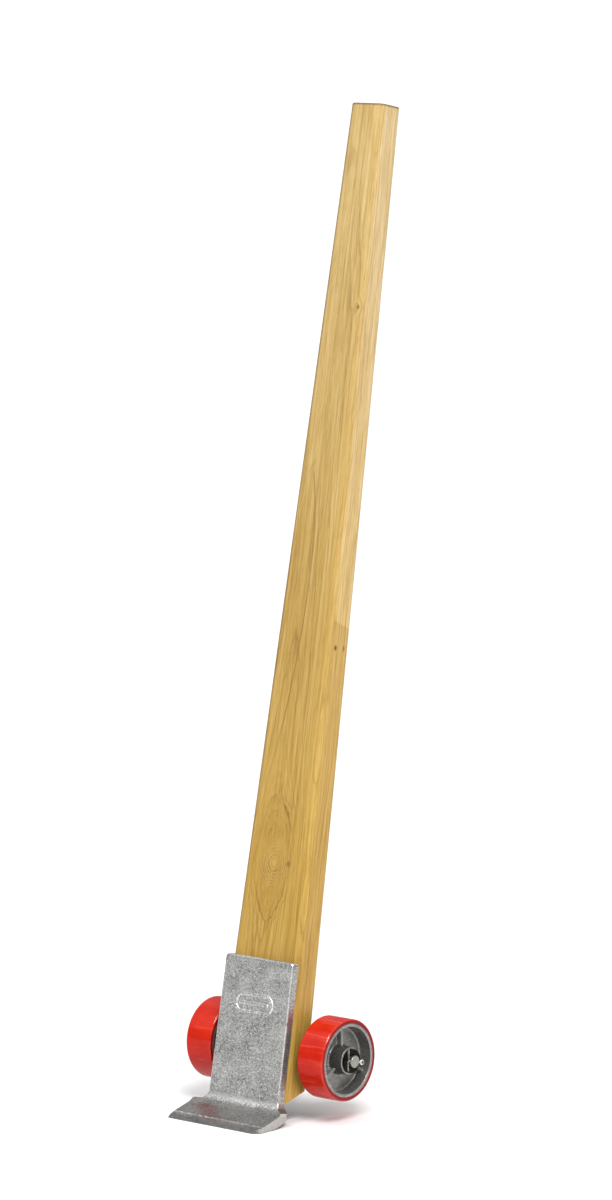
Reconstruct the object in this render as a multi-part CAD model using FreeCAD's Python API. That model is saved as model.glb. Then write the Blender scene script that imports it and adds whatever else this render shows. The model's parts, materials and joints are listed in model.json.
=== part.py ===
import FreeCAD, Part
import math
import os

# A wheeled pry lever: a tapered hardwood handle, a cast nose with a thin lip that goes under a crate,
# and two polyurethane-tyred wheels on one axle clamped across the handle's back. The lip is slid under
# the load, the handle is pulled back, and the wheels are the fulcrum.
#
# Two frames are used, both in millimetres.
#   Row frame:  +Z up, +Y towards the handle's back, +X to the right seen from the lip. Its origin is the
#               middle of the lip's flat sole.
#   Tool frame: origin at the middle of the axle, +Z along the handle, +Y out of the handle's back face.
#               to_row() leans it back and carries it to its place above the sole.

INCH = 25.4

# ---- nose casting --------------------------------------------------------------------------------
LEAN = 10.3                # handle and plate lean back from the vertical, degrees
LIP_SLOPE = 14.8           # the lip's top falls towards its tip, degrees
LIP_LEFT = 97.0            # the lip is a little longer on the left of the middle than on the right
LIP_RIGHT = 85.5
LIP_REACH = 63.0           # tip to the corner between lip and plate
SOLE_DEPTH = 32.6          # flat part of the lip's underside, front to back
TIP_HEIGHT = 1.0
TIP_UNDERCUT = 0.8
BEVEL_START = 17.3         # behind the tip, where the lip's top breaks into the bevel
BEVEL_HEIGHT = 9.5
BEVEL_BREAK = 7.2          # behind the tip, where the bevel steepens into the blunt edge
BEVEL_BREAK_HEIGHT = 6.0
HEEL_BACK = 76.5           # tip to heel
HEEL_HEIGHT = 17.3
LIP_CORNERS = (1.5, 15.0, 11.0, 11.0)    # plan radii: front left, front right, back right, back left
HEEL_CLEAR = 1.5           # from the heel to the lip's back edge, where the back corners end
PLAN_STEP = 3.0            # above the corner, the plan outline no longer trims the plate
WING_ROOT_RADIUS = 15.0    # where the plate's sides flare into the lip's wings
WING_TOP = 0.5             # wings' top edge above the corner between lip and plate
PLATE_THICKNESS = 14.3
PLATE_HEIGHT = 228.6       # corner between lip and plate up to the plate's top edge
PLATE_WIDTH_TOP = 137.4
PLATE_WIDTH_FOOT = 143.0   # extended down to the corner between lip and plate
PLATE_CORNER = 6.0
PLATE_EDGE = 3.2
BEND_RADIUS = 26.0
MARK_RAISE = 1.3           # plain raised foundry mark on the plate's face
MARK_SINK = 1.0
MARK_HEIGHT = 158.0        # mark's middle above the corner
MARK_LENGTH = 76.0
MARK_WIDTH = 30.0
MARK_LINE = 3.2

# ---- handle --------------------------------------------------------------------------------------
HANDLE_TOP = 1462.0        # above the axle, along the handle
HANDLE_FRONT_FOOT = -78.0  # lowest point of the front face
HANDLE_BACK_FOOT = -53.5   # lowest point of the back face
HANDLE_WIDTH_AXLE = 142.5
HANDLE_WIDTH_TOP = 66.0
HANDLE_THICKNESS_AXLE = 50.0
HANDLE_THICKNESS_TOP = 46.8
HANDLE_ROUND = 10.5
HANDLE_END_ROUND = 2.5

# ---- axle, clamp and fasteners -------------------------------------------------------------------
AXLE_RADIUS = 0.375 * INCH
AXLE_HALF = 153.0
AXLE_CHAMFER = 1.0
AXLE_ABOVE_CORNER = 90.7   # along the plate
AXLE_BEHIND_FACE = 74.0    # from the plate's front face
CLAMP_PLATE = 6.0
CLAMP_CLEAR = 0.15
CLAMP_HALF = 70.0          # the crown's half length
CLAMP_FLANGE_HALF = 57.0
CLAMP_FLANGE_REACH = 48.0  # each flange's outer edge from the axle
CLAMP_SEAT = -9.5          # flange's inner face
CLAMP_BEND = 3.0
CLAMP_CORNER = 8.0
BOLT_RADIUS = 4.76
BOLT_HEAD_FLATS = 14.3
BOLT_HEAD_HEIGHT = 6.2
BOLT_CROWN = 1.3           # the head's corners are turned off by this much at its top
BOLT_CROWN_SLOPE = 1.7
BOLT_POINT = 1.2
BOLT_ENGAGEMENT = 10.0     # length held in the casting
BOLT_HOLE_DEPTH = 11.0
BOLT_TAPPED_RADIUS = 4.8
BOLT_CLEAR_RADIUS = 5.1
BOLT_SIDE = 36.0           # bolts either side of the middle
CLAMP_BOLT_RISE = 33.0     # clamp bolts above and below the axle
UPPER_BOLT_RISE = 112.0
SEAT_CLEAR = 0.05          # upper washers from the handle's sloping back
LOCK_WASHER = (5.1, 8.6, 2.4)    # inner radius, outer radius, thickness
LOCK_GAP = 1.4
LOCK_GAP_ANGLE = 20.0
FLAT_WASHER = (5.4, 13.0, 2.2)

# ---- wheels --------------------------------------------------------------------------------------
TYRE_RADIUS = 2.5 * INCH
TYRE_HALF = 1.0 * INCH
TYRE_SHOULDER = 3.6
WHEEL_X = 114.0            # wheel's middle from the handle's middle
RIM_RADIUS = 57.3
RIM_INNER_FACE = 52.1
RIM_INNER_ROOT = 50.4
RIM_SETBACK = 0.3          # rim's end face behind the tyre's
WEB_HALF = 3.6
WEB_FILLET = 3.5
HUB_RADIUS = 21.6
HUB_ROOT_RADIUS = 22.6
HUB_HALF = 28.6
HUB_BORE = 15.1
HUB_EDGE = 0.8
RIB_COUNT = 3
RIB_THICKNESS = 5.0
RIB_EDGE = 13.6            # rib's edge from the wheel's middle plane
RIB_ROUND = 1.6
RIB_ANGLE = {"right": 102.5, "left": 48.0}

# ---- wheel bearings and what holds the wheels on -------------------------------------------------
ROLLER_COUNT = 8
ROLLER_RADIUS = 2.62
ROLLER_HALF = 24.0
ROLLER_CHAMFER = 0.4
CAGE_INNER = 11.2
CAGE_OUTER = 13.2
CAGE_HALF = 27.4
CAGE_SLOT_CLEAR = 0.12
AXLE_WASHER = (10.3, 18.65, 3.4)
AXLE_WASHER_GAP = 0.2
SPACER_OUTER = 15.0
SPACER_INNER = 9.75
SPACER_CLEAR = 0.1
COTTER_RADIUS = 1.4        # half-round wire
COTTER_HOLE = 1.65
COTTER_SPLIT = 0.06        # each half's flat from the pin's axis
COTTER_TILT = -2.5         # the eye sits a little low, degrees
COTTER_LEGS = (17.5, 12.5)       # straight run of the upper and the lower leg, bent up and down
COTTER_BEND = 2.6
COTTER_NECK = 16.5
COTTER_FLARE = 1.8
COTTER_EYE = 2.9
COTTER_CLEAR = 0.4         # from the axle to where a leg starts to bend, and from the washer to the hole

V = FreeCAD.Vector
X_AXIS = V(1, 0, 0)
Y_AXIS = V(0, 1, 0)
Z_AXIS = V(0, 0, 1)
FAR = 400.0
SIDES = {"right": 1.0, "left": -1.0}

TIP_Y = -SOLE_DEPTH / 2
CORNER_Y = TIP_Y + LIP_REACH
CREASE_Y = TIP_Y + BEVEL_START
CORNER_Z = BEVEL_HEIGHT + (CORNER_Y - CREASE_Y) * math.tan(math.radians(LIP_SLOPE))
UP_PLATE = V(0, math.sin(math.radians(LEAN)), math.cos(math.radians(LEAN)))
THROUGH_PLATE = V(0, math.cos(math.radians(LEAN)), -math.sin(math.radians(LEAN)))
CORNER = V(0, CORNER_Y, CORNER_Z)
AXLE_CENTRE = CORNER + UP_PLATE * AXLE_ABOVE_CORNER + THROUGH_PLATE * AXLE_BEHIND_FACE
PLATE_BACK = PLATE_THICKNESS - AXLE_BEHIND_FACE      # tool frame: the face the handle sits on
HANDLE_LENGTH = HANDLE_TOP - HANDLE_FRONT_FOOT
CLAMP_BOLTS = [(x, z) for x in (-BOLT_SIDE, BOLT_SIDE) for z in (-CLAMP_BOLT_RISE, CLAMP_BOLT_RISE)]
UPPER_BOLTS = [(-BOLT_SIDE, UPPER_BOLT_RISE), (BOLT_SIDE, UPPER_BOLT_RISE)]


# ---- helpers -------------------------------------------------------------------------------------
def to_row(shape):
    """A tool-frame shape leaned back and carried to its place in the row frame."""
    moved = shape.copy()
    moved.rotate(V(0, 0, 0), X_AXIS, -LEAN)
    moved.translate(AXLE_CENTRE)
    return moved


def face_of(points):
    """A flat face with straight sides through the points."""
    return Part.Face(Part.makePolygon(points + [points[0]]))


def across(points, half_width):
    """A solid from (y, z) points, as wide as twice half_width across X."""
    return face_of([V(-half_width, y, z) for y, z in points]).extrude(X_AXIS * (2 * half_width))


def tube(inner, outer, start, end):
    """A ring about the X axis from x = start to x = end."""
    ring = Part.makeCylinder(outer, end - start, V(start, 0, 0), X_AXIS)
    return ring.cut(Part.makeCylinder(inner, end - start, V(start, 0, 0), X_AXIS))


def turned(points):
    """A solid of revolution about the X axis from (x, radius) points."""
    return face_of([V(x, 0, r) for x, r in points]).revolve(V(0, 0, 0), X_AXIS, 360)


def edges_where(shape, test):
    """The shape's edges whose end points all pass the test."""
    return [e for e in shape.Edges if all(test(v.Point) for v in e.Vertexes)]


def near(a, b, slack=0.05):
    return abs(a - b) < slack


def mirrored_for(side, shape):
    """The right side's shape, or its mirror image for the left side."""
    return shape if side == "right" else shape.mirror(V(0, 0, 0), X_AXIS)


def save(name, *shapes):
    """One STEP file for a sub-part; several shapes are separate solids of one group."""
    solids = [solid for shape in shapes for solid in shape.Solids]
    whole = solids[0] if len(solids) == 1 else Part.makeCompound(solids)
    whole.exportStep(os.path.join("parts", name + ".step"))
    print(f"{name:22s} {len(solids):2d} solids {whole.Volume / 1000:9.2f} cm3 valid {whole.isValid()}")


# ---- nose casting --------------------------------------------------------------------------------
def rocker_radius():
    """The underside's curve leaves the sole level and ends at the heel."""
    run = HEEL_BACK - SOLE_DEPTH
    return (run ** 2 + HEEL_HEIGHT ** 2) / (2 * HEEL_HEIGHT)


def rocker_point(behind_tip):
    radius = rocker_radius()
    run = behind_tip - SOLE_DEPTH
    return V(0, TIP_Y + behind_tip, radius - math.sqrt(radius ** 2 - run ** 2))


def lip_top_point(behind_tip):
    rise = (behind_tip - BEVEL_START) * math.tan(math.radians(LIP_SLOPE))
    return V(0, TIP_Y + behind_tip, BEVEL_HEIGHT + rise)


def side_profile():
    """The casting's outline seen from the side: sole, rocker, heel, plate, bend, lip and bevel."""
    half_corner = math.radians(90 + LEAN + LIP_SLOPE) / 2
    run = BEND_RADIUS / math.tan(half_corner)
    along_lip = V(0, -math.cos(math.radians(LIP_SLOPE)), -math.sin(math.radians(LIP_SLOPE)))
    bend_high = CORNER + UP_PLATE * run
    bend_low = CORNER + along_lip * run
    outwards = (UP_PLATE + along_lip).normalize()
    bend_middle = CORNER + outwards * (math.hypot(run, BEND_RADIUS) - BEND_RADIUS)
    toe = V(0, TIP_Y + TIP_UNDERCUT, 0)
    sole_end = V(0, TIP_Y + SOLE_DEPTH, 0)
    heel = rocker_point(HEEL_BACK)
    through = THROUGH_PLATE * PLATE_THICKNESS
    top_front = CORNER + UP_PLATE * PLATE_HEIGHT
    rear = [heel, CORNER + through, top_front + through, top_front, bend_high]
    front = [bend_low, lip_top_point(BEVEL_START), V(0, TIP_Y + BEVEL_BREAK, BEVEL_BREAK_HEIGHT),
             V(0, TIP_Y, TIP_HEIGHT), toe]
    edges = [Part.makeLine(toe, sole_end),
             Part.Arc(sole_end, rocker_point((SOLE_DEPTH + HEEL_BACK) / 2), heel).toShape()]
    edges += [Part.makeLine(a, b) for a, b in zip(rear, rear[1:])]
    edges.append(Part.Arc(bend_high, bend_middle, bend_low).toShape())
    edges += [Part.makeLine(a, b) for a, b in zip(front, front[1:])]
    return Part.Face(Part.Wire(edges))


def front_outline():
    """The casting's outline seen square to the plate: tapered sides that flare into the wings."""
    base = CORNER - THROUGH_PLATE * FAR
    radius = WING_ROOT_RADIUS
    slope = (PLATE_WIDTH_FOOT - PLATE_WIDTH_TOP) / PLATE_HEIGHT / 2
    flare_top = WING_TOP + radius
    side_x = PLATE_WIDTH_FOOT / 2 - slope * flare_top
    bow = radius * (1 - math.sqrt(0.5))

    def at(x, z):
        return base + X_AXIS * x + UP_PLATE * z

    edges = []
    for sign in (1, -1):
        top = at(sign * PLATE_WIDTH_TOP / 2, PLATE_HEIGHT)
        flare_start = at(sign * side_x, flare_top)
        flare_middle = at(sign * (side_x + bow), WING_TOP + bow)
        flare_end = at(sign * (side_x + radius), WING_TOP)
        wing_end = at(sign * FAR / 2, WING_TOP)
        edges += [Part.makeLine(top, flare_start), Part.Arc(flare_start, flare_middle, flare_end).toShape(),
                  Part.makeLine(flare_end, wing_end), Part.makeLine(wing_end, at(sign * FAR / 2, -FAR / 2))]
    edges.append(Part.makeLine(at(-PLATE_WIDTH_TOP / 2, PLATE_HEIGHT), at(PLATE_WIDTH_TOP / 2, PLATE_HEIGHT)))
    edges.append(Part.makeLine(at(-FAR / 2, -FAR / 2), at(FAR / 2, -FAR / 2)))
    wire = Part.Wire(Part.__sortEdges__(edges))
    outline = Part.Face(wire).extrude(THROUGH_PLATE * (2 * FAR))
    top_edges = [e for e in outline.Edges if near(e.Length, 2 * FAR)
                 and near((e.Vertexes[0].Point - base).dot(UP_PLATE), PLATE_HEIGHT)]
    return outline.makeFillet(PLATE_CORNER, top_edges)


def plan_outline():
    """The lip's outline seen from above, with the plate and its flares standing clear over it."""
    back = TIP_Y + HEEL_BACK + HEEL_CLEAR
    lip = Part.makeBox(LIP_LEFT + LIP_RIGHT, back - TIP_Y, FAR, V(-LIP_LEFT, TIP_Y, -FAR / 2))
    corners = [(-LIP_LEFT, TIP_Y), (LIP_RIGHT, TIP_Y), (LIP_RIGHT, back), (-LIP_LEFT, back)]
    for radius, (x, y) in zip(LIP_CORNERS, corners):
        lip = lip.makeFillet(radius, edges_where(lip, lambda p: near(p.x, x) and near(p.y, y)))
    half = PLATE_WIDTH_FOOT / 2 + WING_ROOT_RADIUS
    above = Part.makeBox(2 * half, FAR, FAR, V(-half, TIP_Y, CORNER_Z + PLAN_STEP))
    return lip.fuse(above)


def foundry_mark():
    """A plain raised ring with a bar through it."""
    outer = slot_prism(MARK_LENGTH, MARK_WIDTH)
    inner = slot_prism(MARK_LENGTH - 2 * MARK_LINE, MARK_WIDTH - 2 * MARK_LINE)
    bar = slot_prism(MARK_LENGTH - 6 * MARK_LINE, MARK_LINE)
    return outer.cut(inner).fuse(bar)


def slot_prism(length, width):
    """A round-ended bar on the plate's face, sunk a little into it."""
    base = CORNER + UP_PLATE * MARK_HEIGHT + THROUGH_PLATE * MARK_SINK
    half = (length - width) / 2
    height = MARK_SINK + MARK_RAISE
    outwards = THROUGH_PLATE * -1
    corners = [(-half, -width / 2), (half, -width / 2), (half, width / 2), (-half, width / 2)]
    box = face_of([base + X_AXIS * x + UP_PLATE * z for x, z in corners])
    ends = [Part.makeCylinder(width / 2, height, base + X_AXIS * x, outwards) for x in (-half, half)]
    return box.extrude(outwards * height).fuse(ends)


def on_front_edge(edge):
    """An edge of the plate's front face, other than where it meets the bend."""
    points = [v.Point - CORNER for v in edge.Vertexes]
    flat = all(near(p.dot(THROUGH_PLATE), 0.0) for p in points)
    across_bend = all(near(p.dot(UP_PLATE), points[0].dot(UP_PLATE)) for p in points)
    high = min(p.dot(UP_PLATE) for p in points) > PLATE_HEIGHT / 2
    return flat and (high or not across_bend)


def nose_casting():
    solid = side_profile().extrude(X_AXIS * FAR)
    solid.translate(V(-FAR / 2, 0, 0))
    solid = solid.common(front_outline()).removeSplitter()
    solid = solid.makeFillet(PLATE_EDGE, [e for e in solid.Edges if on_front_edge(e)])
    solid = solid.common(plan_outline())
    for x, z in CLAMP_BOLTS + UPPER_BOLTS:
        hole = Part.makeCylinder(BOLT_TAPPED_RADIUS, BOLT_HOLE_DEPTH, V(x, PLATE_BACK, z), Y_AXIS * -1)
        solid = solid.cut(to_row(hole))
    return solid.fuse(foundry_mark())


# ---- handle --------------------------------------------------------------------------------------
def handle():
    """The tapered beam: its front outline and its side outline, one crossed with the other."""
    front = PLATE_BACK
    slope = (HANDLE_WIDTH_AXLE - HANDLE_WIDTH_TOP) / HANDLE_TOP
    thin = (HANDLE_THICKNESS_AXLE - HANDLE_THICKNESS_TOP) / HANDLE_TOP
    low = HANDLE_FRONT_FOOT
    half_low = (HANDLE_WIDTH_AXLE - slope * low) / 2
    half_top = HANDLE_WIDTH_TOP / 2
    outline = face_of([V(-half_low, -FAR, low), V(half_low, -FAR, low),
                       V(half_top, -FAR, HANDLE_TOP), V(-half_top, -FAR, HANDLE_TOP)])
    outline = outline.extrude(Y_AXIS * (2 * FAR))
    side = across([(front, low),
                   (front + HANDLE_THICKNESS_AXLE - thin * HANDLE_BACK_FOOT, HANDLE_BACK_FOOT),
                   (front + HANDLE_THICKNESS_TOP, HANDLE_TOP),
                   (front, HANDLE_TOP)], FAR)
    beam = outline.common(side)
    beam = beam.makeFillet(HANDLE_ROUND, [e for e in beam.Edges if e.Length > 0.9 * HANDLE_LENGTH])
    top_edges = edges_where(beam, lambda p: near(p.z, HANDLE_TOP))
    beam = beam.makeFillet(HANDLE_END_ROUND, top_edges)
    for x, z in CLAMP_BOLTS + UPPER_BOLTS:
        beam = beam.cut(Part.makeCylinder(BOLT_CLEAR_RADIUS, FAR, V(x, -FAR / 2, z), Y_AXIS))
    return beam


# ---- axle clamp and bolts ------------------------------------------------------------------------
def handle_back_at(z):
    """The handle's back face, in the tool frame's y."""
    thin = (HANDLE_THICKNESS_AXLE - HANDLE_THICKNESS_TOP) / HANDLE_TOP
    return PLATE_BACK + HANDLE_THICKNESS_AXLE - thin * z


def axle_clamp():
    """A pressed-steel hat section: a round crown over the axle and two bolted flanges."""
    inner = AXLE_RADIUS + CLAMP_CLEAR
    outer = inner + CLAMP_PLATE
    length = 2 * CLAMP_HALF
    crown = Part.makeCylinder(outer, length, V(-CLAMP_HALF, 0, 0), X_AXIS)
    legs = Part.makeBox(length, -CLAMP_SEAT, 2 * outer, V(-CLAMP_HALF, CLAMP_SEAT, -outer))
    crown = crown.common(Part.makeBox(length, outer, 2 * outer, V(-CLAMP_HALF, 0, -outer)))
    flanges = Part.makeBox(2 * CLAMP_FLANGE_HALF, CLAMP_PLATE, 2 * CLAMP_FLANGE_REACH,
                           V(-CLAMP_FLANGE_HALF, CLAMP_SEAT, -CLAMP_FLANGE_REACH))
    corners = edges_where(flanges, lambda p: near(abs(p.x), CLAMP_FLANGE_HALF))
    flanges = flanges.makeFillet(CLAMP_CORNER, [e for e in corners if near(e.Length, CLAMP_PLATE)])
    body = crown.fuse([legs, flanges]).removeSplitter()
    roots = edges_where(body, lambda p: near(p.y, CLAMP_SEAT + CLAMP_PLATE) and near(abs(p.z), outer))
    body = body.makeFillet(CLAMP_BEND, [e for e in roots if near(e.Length, 2 * CLAMP_FLANGE_HALF)])
    throat = Part.makeCylinder(inner, length, V(-CLAMP_HALF, 0, 0), X_AXIS)
    throat = throat.fuse(Part.makeBox(length, -CLAMP_SEAT, 2 * inner, V(-CLAMP_HALF, CLAMP_SEAT, -inner)))
    body = body.cut(throat)
    for x, z in CLAMP_BOLTS:
        body = body.cut(Part.makeCylinder(BOLT_CLEAR_RADIUS, FAR, V(x, -FAR / 2, z), Y_AXIS))
    return body


def hex_bolt(x, z, seat):
    """A bolt from under its head at y = seat, down into the casting, pointing towards the plate."""
    tip = PLATE_BACK - BOLT_ENGAGEMENT
    shank = Part.makeCylinder(BOLT_RADIUS, seat - tip, V(x, tip, z), Y_AXIS)
    shank = shank.makeChamfer(BOLT_POINT, edges_where(shank, lambda p: near(p.y, tip)))
    corner = BOLT_HEAD_FLATS / math.sqrt(3)
    ring = [V(x + corner * math.cos(math.radians(a)), seat, z + corner * math.sin(math.radians(a)))
            for a in range(0, 360, 60)]
    head = face_of(ring).extrude(Y_AXIS * BOLT_HEAD_HEIGHT)
    dome_top = corner - BOLT_CROWN
    dome_foot = dome_top + BOLT_HEAD_HEIGHT * BOLT_CROWN_SLOPE
    dome = Part.makeCone(dome_foot, dome_top, BOLT_HEAD_HEIGHT, V(x, seat, z), Y_AXIS)
    return shank.fuse(head.common(dome)).removeSplitter()


def flat_ring(size, x, z, seat):
    inner, outer, thickness = size
    ring = Part.makeCylinder(outer, thickness, V(x, seat, z), Y_AXIS)
    return ring.cut(Part.makeCylinder(inner, thickness, V(x, seat, z), Y_AXIS))


def lock_ring(x, z, seat):
    """A split spring washer."""
    ring = flat_ring(LOCK_WASHER, x, z, seat)
    split = Part.makeBox(LOCK_GAP, LOCK_WASHER[2], 2 * LOCK_WASHER[1], V(-LOCK_GAP / 2, 0, 0))
    split.rotate(V(0, 0, 0), Y_AXIS, LOCK_GAP_ANGLE)
    split.translate(V(x, seat, z))
    return ring.cut(split)


# ---- wheels --------------------------------------------------------------------------------------
def tyre():
    """The moulded tread, about the X axis and centred on x = 0."""
    ring = tube(RIM_RADIUS, TYRE_RADIUS, -TYRE_HALF, TYRE_HALF)
    shoulders = [e for e in ring.Edges if near(e.BoundBox.ZMax, TYRE_RADIUS) and e.BoundBox.XLength < 0.1]
    return ring.makeFillet(TYRE_SHOULDER, shoulders)


def wheel_core(first_rib):
    """The cast centre: rim, web, hub and ribs, with the hub bored for the bearing."""
    face = TYRE_HALF - RIM_SETBACK
    half = [(0, HUB_BORE), (HUB_HALF, HUB_BORE), (HUB_HALF, HUB_RADIUS - HUB_EDGE),
            (HUB_HALF - HUB_EDGE, HUB_RADIUS), (WEB_HALF, HUB_ROOT_RADIUS), (WEB_HALF, RIM_INNER_ROOT),
            (face, RIM_INNER_FACE), (face, RIM_RADIUS), (0, RIM_RADIUS)]
    core = turned(half + [(-x, r) for x, r in reversed(half) if x > 0])
    roots = [e for e in core.Edges if near(abs(e.BoundBox.XMin), WEB_HALF) and e.BoundBox.XLength < 0.1]
    core = core.makeFillet(WEB_FILLET, roots)
    reach = (RIM_INNER_FACE + RIM_RADIUS) / 2
    start = (HUB_BORE + HUB_RADIUS) / 2
    for number in range(RIB_COUNT):
        corner = V(-RIB_EDGE, start, -RIB_THICKNESS / 2)
        rib = Part.makeBox(2 * RIB_EDGE, reach - start, RIB_THICKNESS, corner)
        rib = rib.makeFillet(RIB_ROUND, [e for e in rib.Edges if near(e.Length, reach - start)])
        rib.rotate(V(0, 0, 0), X_AXIS, first_rib + 360.0 / RIB_COUNT * number)
        core = core.fuse(rib)
    return core.removeSplitter()


def bearing_rollers():
    pitch = (CAGE_INNER + CAGE_OUTER) / 2 + CAGE_SLOT_CLEAR
    rollers = []
    for number in range(ROLLER_COUNT):
        roller = Part.makeCylinder(ROLLER_RADIUS, 2 * ROLLER_HALF, V(-ROLLER_HALF, pitch, 0), X_AXIS)
        roller = roller.makeChamfer(ROLLER_CHAMFER, [e for e in roller.Edges if e.BoundBox.XLength < 0.1])
        roller.rotate(V(0, 0, 0), X_AXIS, 360.0 / ROLLER_COUNT * number)
        rollers.append(roller)
    return rollers


def bearing_cage():
    """A sleeve with one window for each roller."""
    sleeve = tube(CAGE_INNER, CAGE_OUTER, -CAGE_HALF, CAGE_HALF)
    width = 2 * (ROLLER_RADIUS + CAGE_SLOT_CLEAR)
    half = ROLLER_HALF + CAGE_SLOT_CLEAR
    for number in range(ROLLER_COUNT):
        window = Part.makeBox(2 * half, CAGE_OUTER, width, V(-half, 0, -width / 2))
        window.rotate(V(0, 0, 0), X_AXIS, 360.0 / ROLLER_COUNT * number)
        sleeve = sleeve.cut(window)
    return sleeve


# ---- axle and what holds the wheels on -----------------------------------------------------------
def outer_washer_start():
    return WHEEL_X + HUB_HALF + AXLE_WASHER_GAP


def axle_spacer(inside):
    """A tube from the clamp's end to the inner washer."""
    return tube(SPACER_INNER, SPACER_OUTER, CLAMP_HALF + SPACER_CLEAR, inside - SPACER_CLEAR)


def cotter_x():
    return outer_washer_start() + AXLE_WASHER[2] + COTTER_HOLE + COTTER_CLEAR


def axle():
    rod = Part.makeCylinder(AXLE_RADIUS, 2 * AXLE_HALF, V(-AXLE_HALF, 0, 0), X_AXIS)
    rod = rod.makeChamfer(AXLE_CHAMFER, [e for e in rod.Edges if e.BoundBox.XLength < 0.1])
    for sign in SIDES.values():
        hole = Part.makeCylinder(COTTER_HOLE, 4 * AXLE_RADIUS, V(0, -2 * AXLE_RADIUS, 0), Y_AXIS)
        hole.rotate(V(0, 0, 0), X_AXIS, COTTER_TILT)
        hole.translate(V(sign * cotter_x(), 0, 0))
        rod = rod.cut(hole)
    return rod


def tangent_path(start, heading, moves):
    """Edges in the YZ plane: each move is (length, 0) for a run or (radius, turn in degrees) for a bend."""
    point, edges = start, []
    for size, turn in moves:
        direction = V(0, math.cos(math.radians(heading)), math.sin(math.radians(heading)))
        if turn == 0:
            end = point + direction * size
            edges.append(Part.makeLine(point, end))
        else:
            left = V(0, -direction.z, direction.y) * math.copysign(1.0, turn)
            centre = point + left * size
            spokes = [FreeCAD.Rotation(X_AXIS, part * turn).multVec(left * -size) for part in (0.5, 1.0)]
            end = centre + spokes[1]
            edges.append(Part.Arc(point, centre + spokes[0], end).toShape())
            heading += turn
        point = end
    return edges


def cotter_pin():
    """One half-round wire: down the upper leg, through the axle, round the eye, back, and down the other leg.

    The pin tips down towards its eye, and both legs are bent until they stand upright in the row frame.
    """
    tip_down = LEAN - COTTER_TILT
    heading = tip_down - 90.0
    flare = math.degrees(math.acos((COTTER_FLARE + COTTER_SPLIT) / (COTTER_FLARE + COTTER_EYE)))
    down = V(0, math.cos(math.radians(heading)), math.sin(math.radians(heading)))
    bulge = V(0, -down.z, down.y)
    mouth = V(0, -(AXLE_RADIUS + COTTER_CLEAR), COTTER_SPLIT)
    start = mouth - (bulge - Z_AXIS) * COTTER_BEND - down * COTTER_LEGS[0]
    through = COTTER_NECK - mouth.y
    moves = [(COTTER_LEGS[0], 0), (COTTER_BEND, -heading), (through, 0), (COTTER_FLARE, flare),
             (COTTER_EYE, -(180 + 2 * flare)), (COTTER_FLARE, flare), (through, 0),
             (COTTER_BEND, 180 + heading), (COTTER_LEGS[1], 0)]
    path = Part.Wire(tangent_path(start, heading, moves))
    side = X_AXIS * COTTER_RADIUS
    half_round = [Part.Arc(start - side, start + bulge * COTTER_RADIUS, start + side).toShape(),
                  Part.makeLine(start + side, start - side)]
    pin = path.makePipeShell([Part.Wire(half_round)], True, False)
    pin.rotate(V(0, 0, 0), X_AXIS, COTTER_TILT)
    return pin


# ---- build ---------------------------------------------------------------------------------------
def build_frame():
    save("nose_casting", nose_casting())
    save("handle", to_row(handle()))
    save("axle_clamp", to_row(axle_clamp()))
    save("axle", to_row(axle()))
    clamp_seat = CLAMP_SEAT + CLAMP_PLATE
    upper_seat = handle_back_at(UPPER_BOLT_RISE - FLAT_WASHER[1]) + SEAT_CLEAR
    over_washer = upper_seat + FLAT_WASHER[2]
    lock = LOCK_WASHER[2]
    save("clamp_bolts", *[to_row(hex_bolt(x, z, clamp_seat + lock)) for x, z in CLAMP_BOLTS])
    save("upper_bolts", *[to_row(hex_bolt(x, z, over_washer + lock)) for x, z in UPPER_BOLTS])
    save("clamp_lock_washers", *[to_row(lock_ring(x, z, clamp_seat)) for x, z in CLAMP_BOLTS])
    save("upper_lock_washers", *[to_row(lock_ring(x, z, over_washer)) for x, z in UPPER_BOLTS])
    save("upper_flat_washers", *[to_row(flat_ring(FLAT_WASHER, x, z, upper_seat)) for x, z in UPPER_BOLTS])


def build_side(side):
    inner, outer, thickness = AXLE_WASHER
    outside = outer_washer_start()
    inside = WHEEL_X - HUB_HALF - AXLE_WASHER_GAP - thickness
    to_wheel = V(WHEEL_X, 0, 0)
    pieces = {"tyre": [tyre()], "wheel_core": [wheel_core(RIB_ANGLE[side])],
              "bearing_cage": [bearing_cage()], "bearing_rollers": bearing_rollers(),
              "outer_washer": [tube(inner, outer, outside, outside + thickness)],
              "inner_washer": [tube(inner, outer, inside, inside + thickness)],
              "axle_spacer": [axle_spacer(inside)],
              "cotter_pin": [cotter_pin()]}
    for shape in pieces["tyre"] + pieces["wheel_core"] + pieces["bearing_cage"] + pieces["bearing_rollers"]:
        shape.translate(to_wheel)
    pieces["cotter_pin"][0].translate(V(cotter_x(), 0, 0))
    for name, shapes in pieces.items():
        save(f"{name}_{side}", *[to_row(mirrored_for(side, shape)) for shape in shapes])


os.makedirs("parts", exist_ok=True)
build_frame()
for side_name in SIDES:
    build_side(side_name)
print("axle centre", AXLE_CENTRE)
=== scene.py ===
import json
import math

import bpy
import numpy as np
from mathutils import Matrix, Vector, noise

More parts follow.
